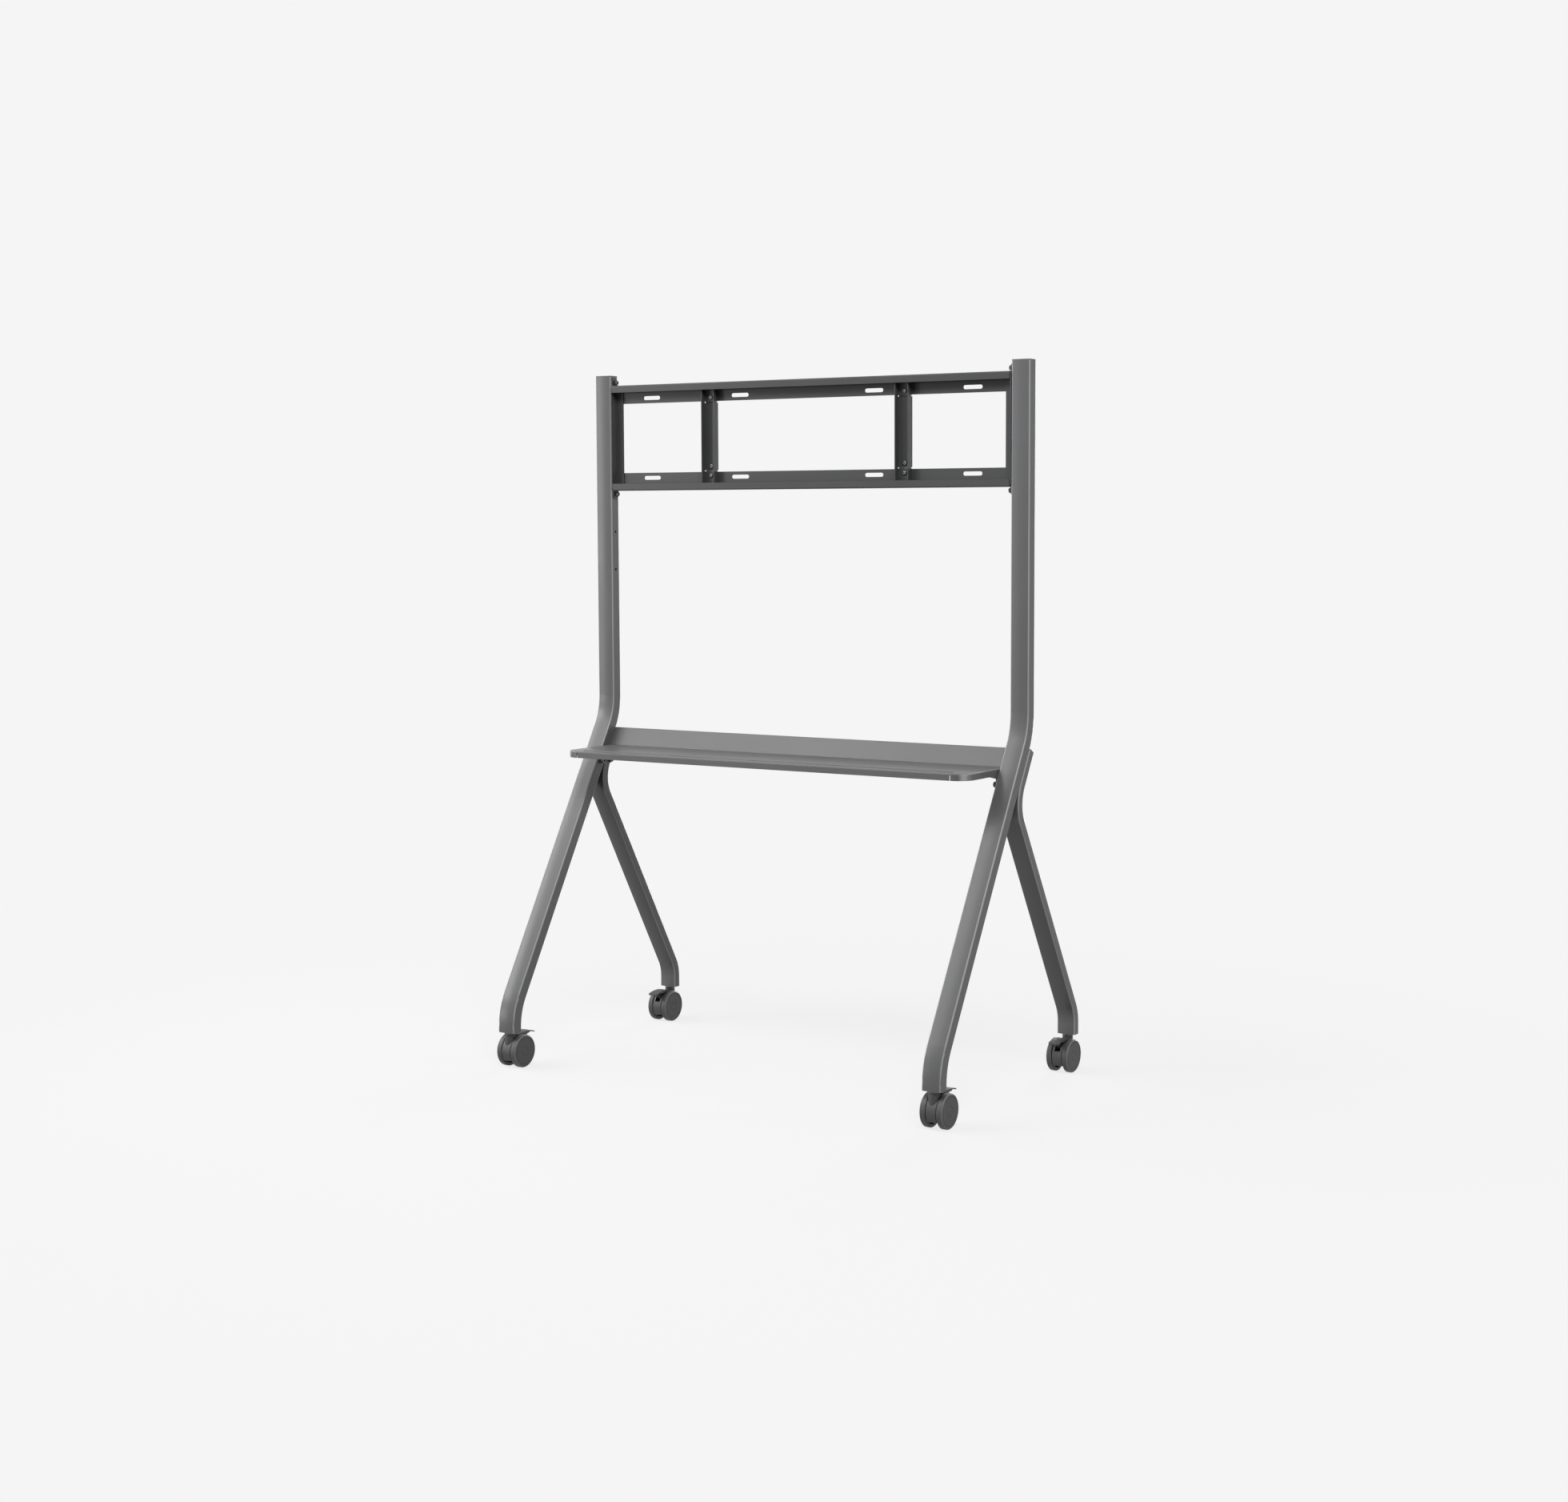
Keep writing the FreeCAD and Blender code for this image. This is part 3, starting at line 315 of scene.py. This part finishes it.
def use_group(tree, group, **inputs):
    """Adds a node that uses a group. In its inputs' names here, _ stands for a space."""
    node = tree.nodes.new("ShaderNodeGroup")
    node.node_tree = group
    for name, value in inputs.items():
        node.inputs[name.replace("_", " ")].default_value = value
    return node


def new_material(name):
    """A new material with one Principled shader, its node tree and that shader."""
    material = bpy.data.materials.new(name)
    material.use_nodes = True
    tree = material.node_tree
    tree.nodes.clear()
    shader = tree.nodes.new("ShaderNodeBsdfPrincipled")
    out = tree.nodes.new("ShaderNodeOutputMaterial")
    tree.links.new(shader.outputs[0], out.inputs["Surface"])
    return material, tree, shader


def shaded(color, factor):
    """A colour made lighter or darker, with its alpha."""
    return (color[0] * factor, color[1] * factor, color[2] * factor, 1.0)


def surface(name, color, roughness, roughness_swing, grain_size, grain_height, patch_size=0.15,
            color_swing=0.06, dust=0.0, edge=0.0, metallic=0.0, specular=0.5,
            mask=None, highlight_gain=1.0):
    """A finish with grain in its relief, patches in its gloss and colour, softened edges and a painted
    highlight.
    """
    material, tree, shader = new_material(name)
    grain = use_group(tree, grain_group(), Grain_size=grain_size)
    marks = use_group(tree, handling_group(), Patch_size=patch_size, Dust=dust)
    tone = place(tree, "ShaderNodeMix", {"Factor": marks.outputs["Patches"],
                                         "A": shaded(color, 1 - color_swing),
                                         "B": shaded(color, 1 + color_swing)}, data_type="RGBA")
    specked = place(tree, "ShaderNodeMix", {"Factor": grain.outputs["Speck"],
                                            "A": shaded((1, 1, 1), 1 - color_swing),
                                            "B": shaded((1, 1, 1), 1 + color_swing)}, data_type="RGBA")
    product = place(tree, "ShaderNodeMix", {"Factor": 1.0, "A": tone.outputs["Result"],
                                            "B": specked.outputs["Result"]},
                    data_type="RGBA", blend_type="MULTIPLY")
    # Painted highlight: where the mask is, the colour is lightened by the gain.
    if mask is not None:
        highlight_mask = use_group(tree, mask)
        product = place(tree, "ShaderNodeMix", {"Factor": highlight_mask.outputs["Mask"],
                                                "A": product.outputs["Result"],
                                                "B": shaded((1, 1, 1), highlight_gain)},
                        data_type="RGBA", blend_type="MULTIPLY")
    dusty = place(tree, "ShaderNodeMix", {"Factor": marks.outputs["Dust"], "A": product.outputs["Result"],
                                          "B": DUST_COLOR}, data_type="RGBA")
    gloss = place(tree, "ShaderNodeMapRange", {"Value": marks.outputs["Patches"],
                                               "To Min": roughness - roughness_swing,
                                               "To Max": roughness + roughness_swing})
    tree.links.new(dusty.outputs["Result"], shader.inputs["Base Color"])
    tree.links.new(gloss.outputs["Result"], shader.inputs["Roughness"])
    shader.inputs["Metallic"].default_value = metallic
    shader.inputs["Specular IOR Level"].default_value = specular
    bump = place(tree, "ShaderNodeBump", {"Height": grain.outputs["Height"], "Strength": GRAIN_STRENGTH,
                                          "Distance": grain_height})
    if edge > 0:
        soft = place(tree, "ShaderNodeBevel", {"Radius": edge}, samples=4)
        tree.links.new(soft.outputs["Normal"], bump.inputs["Normal"])
    tree.links.new(bump.outputs["Normal"], shader.inputs["Normal"])
    return material


def graphite(name, settings, mask, highlight_gain):
    """The graphite powder coating, with a highlight painted into its colour where the mask says so."""
    return surface(name, settings.coating_color, roughness=0.33, roughness_swing=0.03,
                   grain_size=settings.coating_grain, grain_height=0.00005, color_swing=0.03, dust=0.05,
                   edge=0.0006, specular=0.3, mask=mask, highlight_gain=highlight_gain)


def slot_finishes(settings):
    """The finishes by the name of their slot in the record."""
    return {
        # The tubes' rounded corners get a painted highlight: their colour is lightened up to 2.8 times.
        "frame_coating": graphite("Graphite powder coating", settings, painted_corner_highlights_group(), highlight_gain=2.8),
        "screen_frame_coating": surface(
            "Dark powder coating", settings.screen_frame_color, roughness=0.34, roughness_swing=0.03,
            grain_size=settings.coating_grain, grain_height=0.00004, color_swing=0.03, dust=0.05,
            edge=0.0005, specular=0.25),
        # The wheels get a painted highlight: rims lightened up to 6 times, running surfaces about twice.
        "caster_wheel": surface(
            "Wheel nylon", settings.wheel_color, roughness=0.5, roughness_swing=0.05,
            grain_size=0.0009, grain_height=0.00004, patch_size=0.03, dust=0.1, edge=0.0003,
            mask=rim_highlight_group(), highlight_gain=6.0),
        "caster_body": surface(
            "Housing nylon", settings.housing_color, roughness=0.48, roughness_swing=0.04,
            grain_size=0.0007, grain_height=0.00004, patch_size=0.03, dust=0.1, edge=0.0003),
        "caster_pedal": surface(
            "Pedal nylon", settings.pedal_color, roughness=0.5, roughness_swing=0.04,
            grain_size=0.0007, grain_height=0.000012, patch_size=0.02, dust=0.1, edge=0.0003),
        "cap_plastic": surface(
            "Cap polyethylene", settings.cap_color, roughness=0.5, roughness_swing=0.04,
            grain_size=0.0008, grain_height=0.00004, patch_size=0.02, edge=0.0004),
        "black_fastener": surface(
            "Blackened steel", settings.bolt_color, roughness=0.38, roughness_swing=0.08,
            grain_size=0.0006, grain_height=0.00002, patch_size=0.008, color_swing=0.15, edge=0.0002,
            metallic=0.85),
        "zinc_steel": surface(
            "Bright zinc", settings.zinc_color, roughness=0.3, roughness_swing=0.08,
            grain_size=0.0008, grain_height=0.00002, patch_size=0.01, color_swing=0.08, edge=0.0002,
            metallic=1.0),
    }


def node_finishes(settings):
    """The finishes of the pieces that look different from the others in their slot, by node."""
    return {
        "post_bolts": surface(
            "Polished dark steel", settings.polished_color, roughness=0.24, roughness_swing=0.05,
            grain_size=0.0006, grain_height=0.00001, patch_size=0.008, color_swing=0.1, edge=0.0002,
            metallic=0.9),
        # The shelf's rounded corners get a painted highlight: their colour is lightened up to 3.4 times.
        "shelf_tray": graphite("Shelf powder coating", settings, shelf_highlight_group(), highlight_gain=3.4),
    }


# Geometry helpers

def islands(mesh):
    """The points of each separate solid in a mesh, in the order of the mesh's vertices."""
    shape = bmesh.new()
    shape.from_mesh(mesh)
    bmesh.ops.remove_doubles(shape, verts=shape.verts, dist=SAME_POINT)
    met, found = set(), []
    for start in shape.verts:
        if start in met:
            continue
        met.add(start)
        front, points = [start], []
        while front:
            vert = front.pop()
            points.append(vert.co.copy())
            for edge in vert.link_edges:
                other = edge.other_vert(vert)
                if other not in met:
                    met.add(other)
                    front.append(other)
        found.append(points)
    shape.free()
    return found


def coil_tree():
    """A node tree that puts the turns of a thread round the Y axis at every vertex of its mesh."""
    if "Thread turns" in bpy.data.node_groups:
        return bpy.data.node_groups["Thread turns"]
    tree = bpy.data.node_groups.new("Thread turns", "GeometryNodeTree")
    for label, kind in (("Geometry", "NodeSocketGeometry"), ("Turns", "NodeSocketInt"),
                        ("Pitch", "NodeSocketFloat"), ("Radius", "NodeSocketFloat"),
                        ("Depth", "NodeSocketFloat"), ("Material", "NodeSocketMaterial")):
        tree.interface.new_socket(name=label, in_out="INPUT", socket_type=kind)
    tree.interface.new_socket(name="Geometry", in_out="OUTPUT", socket_type="NodeSocketGeometry")
    entry, leave = tree.nodes.new("NodeGroupInput"), tree.nodes.new("NodeGroupOutput")
    circle = place(tree, "GeometryNodeCurvePrimitiveCircle", {"Resolution": 20,
                                                              "Radius": entry.outputs["Radius"]})
    section = place(tree, "GeometryNodeCurvePrimitiveCircle", {"Resolution": 4,
                                                               "Radius": entry.outputs["Depth"]})
    turn = place(tree, "GeometryNodeCurveToMesh", {"Curve": circle.outputs[0],
                                                   "Profile Curve": section.outputs[0]})
    upright = place(tree, "GeometryNodeTransform", {"Geometry": turn.outputs[0],
                                                    "Rotation": (math.pi / 2, 0, 0)})
    step = place(tree, "ShaderNodeCombineXYZ", {1: entry.outputs["Pitch"]})
    row = place(tree, "GeometryNodeMeshLine", {"Count": entry.outputs["Turns"], "Offset": step.outputs[0]})
    turns = place(tree, "GeometryNodeInstanceOnPoints", {"Points": row.outputs[0],
                                                         "Instance": upright.outputs[0]})
    ends = place(tree, "GeometryNodeInstanceOnPoints", {"Points": entry.outputs["Geometry"],
                                                        "Instance": turns.outputs[0]})
    real = place(tree, "GeometryNodeRealizeInstances", {"Geometry": ends.outputs[0]})
    coated = place(tree, "GeometryNodeSetMaterial", {"Geometry": real.outputs[0],
                                                     "Material": entry.outputs["Material"]})
    tree.links.new(coated.outputs[0], leave.inputs[0])
    return tree


def shank_ends(mesh):
    """For each bolt that lies along Y in a mesh: the middle of its far end and its shank's radius."""
    ends = []
    for points in islands(mesh):
        x = (min(p.x for p in points) + max(p.x for p in points)) / 2
        z = (min(p.z for p in points) + max(p.z for p in points)) / 2
        y = max(p.y for p in points)
        tail = [math.hypot(p.x - x, p.z - z) for p in points if p.y > y - BOLT_TAIL]
        ends.append((Vector((x, y, z)), max(tail)))
    return ends


def screw_heads(mesh):
    """For each screw that lies along X in a mesh: the middle of its head, its radius and its length."""
    heads = []
    for points in islands(mesh):
        y = (min(p.y for p in points) + max(p.y for p in points)) / 2
        z = (min(p.z for p in points) + max(p.z for p in points)) / 2
        reach = [math.hypot(p.y - y, p.z - z) for p in points]
        radius = max(reach)
        ends = [p.x for p, r in zip(points, reach) if r > radius * HEAD_RADIUS_SHARE]
        heads.append((Vector(((min(ends) + max(ends)) / 2, y, z)), radius, max(ends) - min(ends)))
    return heads


def knurl_tree():
    """A node tree that puts a ring of ridges round the X axis at every vertex of its mesh."""
    if "Knurled heads" in bpy.data.node_groups:
        return bpy.data.node_groups["Knurled heads"]
    tree = bpy.data.node_groups.new("Knurled heads", "GeometryNodeTree")
    for label, kind in (("Geometry", "NodeSocketGeometry"), ("Ridges", "NodeSocketInt"),
                        ("Radius", "NodeSocketFloat"), ("Length", "NodeSocketFloat"),
                        ("Ridge size", "NodeSocketFloat"), ("Material", "NodeSocketMaterial")):
        tree.interface.new_socket(name=label, in_out="INPUT", socket_type=kind)
    tree.interface.new_socket(name="Geometry", in_out="OUTPUT", socket_type="NodeSocketGeometry")
    entry, leave = tree.nodes.new("NodeGroupInput"), tree.nodes.new("NodeGroupOutput")
    circle = place(tree, "GeometryNodeMeshCircle", {"Vertices": entry.outputs["Ridges"],
                                                    "Radius": entry.outputs["Radius"]})
    upright = place(tree, "GeometryNodeTransform", {"Geometry": circle.outputs[0],
                                                    "Rotation": (0, math.pi / 2, 0)})
    size = place(tree, "ShaderNodeCombineXYZ", {0: entry.outputs["Length"], 1: entry.outputs["Ridge size"],
                                                2: entry.outputs["Ridge size"]})
    bar = place(tree, "GeometryNodeMeshCube", {"Size": size.outputs[0]})
    ridge = place(tree, "GeometryNodeTransform", {"Geometry": bar.outputs["Mesh"],
                                                  "Rotation": (math.pi / 4, 0, 0)})
    index = tree.nodes.new("GeometryNodeInputIndex")
    share = place(tree, "ShaderNodeMath", {0: index.outputs[0], 1: entry.outputs["Ridges"]},
                  operation="DIVIDE")
    angle = place(tree, "ShaderNodeMath", {0: share.outputs[0], 1: 2 * math.pi}, operation="MULTIPLY")
    turn = place(tree, "ShaderNodeCombineXYZ", {0: angle.outputs[0]})
    ring = place(tree, "GeometryNodeInstanceOnPoints", {"Points": upright.outputs[0],
                                                        "Instance": ridge.outputs[0],
                                                        "Rotation": turn.outputs[0]})
    rings = place(tree, "GeometryNodeInstanceOnPoints", {"Points": entry.outputs["Geometry"],
                                                         "Instance": ring.outputs[0]})
    real = place(tree, "GeometryNodeRealizeInstances", {"Geometry": rings.outputs[0]})
    coated = place(tree, "GeometryNodeSetMaterial", {"Geometry": real.outputs[0],
                                                     "Material": entry.outputs["Material"]})
    tree.links.new(coated.outputs[0], leave.inputs[0])
    return tree


def grown(name, points, tree, values):
    """A finished piece that a node tree makes from a few points. The values go by socket name."""
    seed = bpy.data.meshes.new(name + " points")
    seed.from_pydata(points, [], [])
    source = bpy.data.objects.new(name + " points", seed)
    bpy.context.scene.collection.objects.link(source)
    modifier = source.modifiers.new("Nodes", "NODES")
    modifier.node_group = tree
    for socket in tree.interface.items_tree:
        if socket.item_type == "SOCKET" and socket.in_out == "INPUT" and socket.name in values:
            modifier[socket.identifier] = values[socket.name]
    bpy.context.view_layer.update()
    graph = bpy.context.evaluated_depsgraph_get()
    mesh = bpy.data.meshes.new_from_object(source.evaluated_get(graph), depsgraph=graph)
    if not mesh.polygons:
        raise RuntimeError("%s came out empty" % name)
    mesh.name = name
    piece = bpy.data.objects.new(name, mesh)
    bpy.context.scene.collection.objects.link(piece)
    bpy.data.objects.remove(source)
    bpy.data.meshes.remove(seed)
    return piece


# Operators

class STAND_OT_finishes(bpy.types.Operator):
    """Gives every CAD piece the finish of its slot"""
    bl_idname = "stand.finishes"
    bl_label = "Coat and colour the pieces"

    def execute(self, context):
        settings = context.scene.stand_finish
        by_slot, by_node = slot_finishes(settings), node_finishes(settings)
        for name, node in NODES.items():
            finish = by_node.get(name) or by_slot[SLOTS[name]]
            for slot in node.material_slots:
                slot.material = finish
        return {"FINISHED"}


class STAND_OT_knurls(bpy.types.Operator):
    """Cuts ridges round the tall heads of the shelf and bracket screws"""
    bl_idname = "stand.knurls"
    bl_label = "Knurl the screw heads"

    def execute(self, context):
        settings = context.scene.stand_knurl
        for name in ("shelf_bolts", "bracket_bolts"):
            node = NODES[name]
            heads = screw_heads(node.data)
            _, radius, length = heads[0]
            piece = grown(name + "_knurls", [tuple(middle) for middle, _, _ in heads], knurl_tree(), {
                "Ridges": settings.ridges, "Radius": radius, "Length": length * settings.length_share,
                "Ridge size": settings.ridge_size, "Material": node.material_slots[0].material})
            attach(piece, "frame")
        return {"FINISHED"}


class STAND_OT_threads(bpy.types.Operator):
    """Puts turns of thread on the ends of the post bolts"""
    bl_idname = "stand.threads"
    bl_label = "Thread the bolt ends"

    def execute(self, context):
        settings = context.scene.stand_thread
        node = NODES["post_bolts"]
        ends = shank_ends(node.data)
        back = settings.from_end + settings.pitch * (settings.turns - 1)
        starts = [(end.x, end.y - back, end.z) for end, _ in ends]
        piece = grown("post_bolt_threads", starts, coil_tree(), {
            "Turns": settings.turns, "Pitch": settings.pitch, "Radius": ends[0][1], "Depth": settings.depth,
            "Material": node.material_slots[0].material})
        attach(piece, "frame")
        return {"FINISHED"}


class STAND_OT_stage(bpy.types.Operator):
    """Sets up the floor, the studio light and the camera"""
    bl_idname = "stand.stage"
    bl_label = "Set the stage"

    def seen(self, tree):
        """1 for the rays that show the studio itself, 0 for those that only light the stand."""
        rays = tree.nodes.new("ShaderNodeLightPath")
        direct = place(tree, "ShaderNodeMath", {0: rays.outputs["Is Camera Ray"],
                                                1: rays.outputs["Is Glossy Ray"]}, operation="ADD")
        return place(tree, "ShaderNodeMath", {0: direct.outputs[0],
                                              1: rays.outputs["Is Transmission Ray"]},
                     operation="ADD", use_clamp=True).outputs[0]

    def floor(self, settings):
        mesh = bpy.data.meshes.new("Floor")
        half = settings.floor_size / 2
        mesh.from_pydata([(-half, -half, 0), (half, -half, 0), (half, half, 0), (-half, half, 0)], [],
                         [(0, 1, 2, 3)])
        floor = bpy.data.objects.new("Floor", mesh)
        bpy.context.scene.collection.objects.link(floor)
        material = bpy.data.materials.new("Studio floor")
        material.use_nodes = True
        tree = material.node_tree
        tree.nodes.clear()
        seen = self.seen(tree)
        white, bounce = settings.background, settings.floor_bounce
        where = place(tree, "ShaderNodeTexCoord")
        distance = place(tree, "ShaderNodeVectorMath", {0: where.outputs["Object"]}, operation="LENGTH")
        near, far = settings.shadow_reach
        fade = place(tree, "ShaderNodeMapRange", {"Value": distance.outputs["Value"], "From Min": near,
                                                  "From Max": far, "To Min": settings.shadow_share,
                                                  "To Max": 0.0}, interpolation_type="SMOOTHSTEP")
        plain = place(tree, "ShaderNodeMath", {0: 1.0, 1: fade.outputs["Result"]}, operation="SUBTRACT")
        share = place(tree, "ShaderNodeMath", {0: seen, 1: plain.outputs[0]}, operation="MULTIPLY")
        tone = place(tree, "ShaderNodeMix", {"Factor": seen, "A": (bounce, bounce, bounce, 1),
                                             "B": (white, white, white, 1)}, data_type="RGBA")
        matt = place(tree, "ShaderNodeBsdfDiffuse", {"Color": tone.outputs["Result"]})
        glow = place(tree, "ShaderNodeEmission", {"Color": (white, white, white, 1), "Strength": 1.0})
        mix = place(tree, "ShaderNodeMixShader", {0: share.outputs[0], 1: matt.outputs[0],
                                                  2: glow.outputs[0]})
        place(tree, "ShaderNodeOutputMaterial", {"Surface": mix.outputs[0]})
        mesh.materials.append(material)

    def sky(self, settings):
        world = bpy.data.worlds.new("Studio")
        bpy.context.scene.world = world
        world.use_nodes = True
        tree = world.node_tree
        tree.nodes.clear()
        white = settings.background
        back = place(tree, "ShaderNodeBackground", {"Color": (white, white, white, 1),
                                                    "Strength": self.seen(tree)})
        place(tree, "ShaderNodeOutputWorld", {"Surface": back.outputs[0]})

    def lamp(self, name, power, size, turn, distance, height, aim):
        """Puts a soft light near the stand and turns it to the stand's middle line."""
        light = bpy.data.lights.new(name, "AREA")
        light.energy = power
        light.shape = "RECTANGLE"
        light.size, light.size_y = size
        lamp = bpy.data.objects.new(name, light)
        angle = math.radians(turn)
        at = Vector((distance * math.sin(angle), -distance * math.cos(angle), height))
        lamp.location = at
        lamp.rotation_euler = (Vector((0, 0, aim)) - at).to_track_quat("-Z", "Y").to_euler()
        bpy.context.scene.collection.objects.link(lamp)

    def execute(self, context):
        settings = context.scene.stand_stage
        self.floor(settings)
        self.sky(settings)
        for name, power, *placing in LAMPS:
            self.lamp(name, getattr(settings, power), *placing)
        data = bpy.data.cameras.new("Camera")
        data.lens = settings.camera_lens
        data.shift_x, data.shift_y = settings.camera_shift
        camera = bpy.data.objects.new("Camera", data)
        camera.location = settings.camera_place
        camera.rotation_euler = (math.pi / 2 - settings.camera_elevation, 0, settings.camera_azimuth)
        context.scene.collection.objects.link(camera)
        context.scene.camera = camera
        context.scene.view_settings.view_transform = "Standard"
        return {"FINISHED"}


class STAND_PT_panel(bpy.types.Panel):
    """The stand's pieces in the sidebar"""
    bl_idname = "STAND_PT_panel"
    bl_label = "Mobile Screen Stand"
    bl_space_type = "VIEW_3D"
    bl_region_type = "UI"
    bl_category = "Screen Stand"

    def draw(self, context):
        for operator in STEPS:
            self.layout.operator(operator.bl_idname)


STEPS = (STAND_OT_stage, STAND_OT_finishes, STAND_OT_knurls, STAND_OT_threads)
CLASSES = (FinishSettings, KnurlSettings, ThreadSettings, StageSettings) + STEPS + (STAND_PT_panel,)


def register():
    for kind in CLASSES:
        bpy.utils.register_class(kind)
    bpy.types.Scene.stand_finish = PointerProperty(type=FinishSettings)
    bpy.types.Scene.stand_knurl = PointerProperty(type=KnurlSettings)
    bpy.types.Scene.stand_thread = PointerProperty(type=ThreadSettings)
    bpy.types.Scene.stand_stage = PointerProperty(type=StageSettings)


def unregister():
    del bpy.types.Scene.stand_stage
    del bpy.types.Scene.stand_thread
    del bpy.types.Scene.stand_knurl
    del bpy.types.Scene.stand_finish
    for kind in reversed(CLASSES):
        bpy.utils.unregister_class(kind)


def run(operator):
    """Calls one of the stand's operators, and stops the script where it doesn't finish."""
    group, name = operator.bl_idname.split(".")
    result = getattr(getattr(bpy.ops, group), name)()
    if result != {"FINISHED"}:
        raise RuntimeError("%s gave %s" % (operator.bl_idname, result))


def main():
    register()
    for operator in STEPS:
        run(operator)


if __name__ == "__main__":
    main()
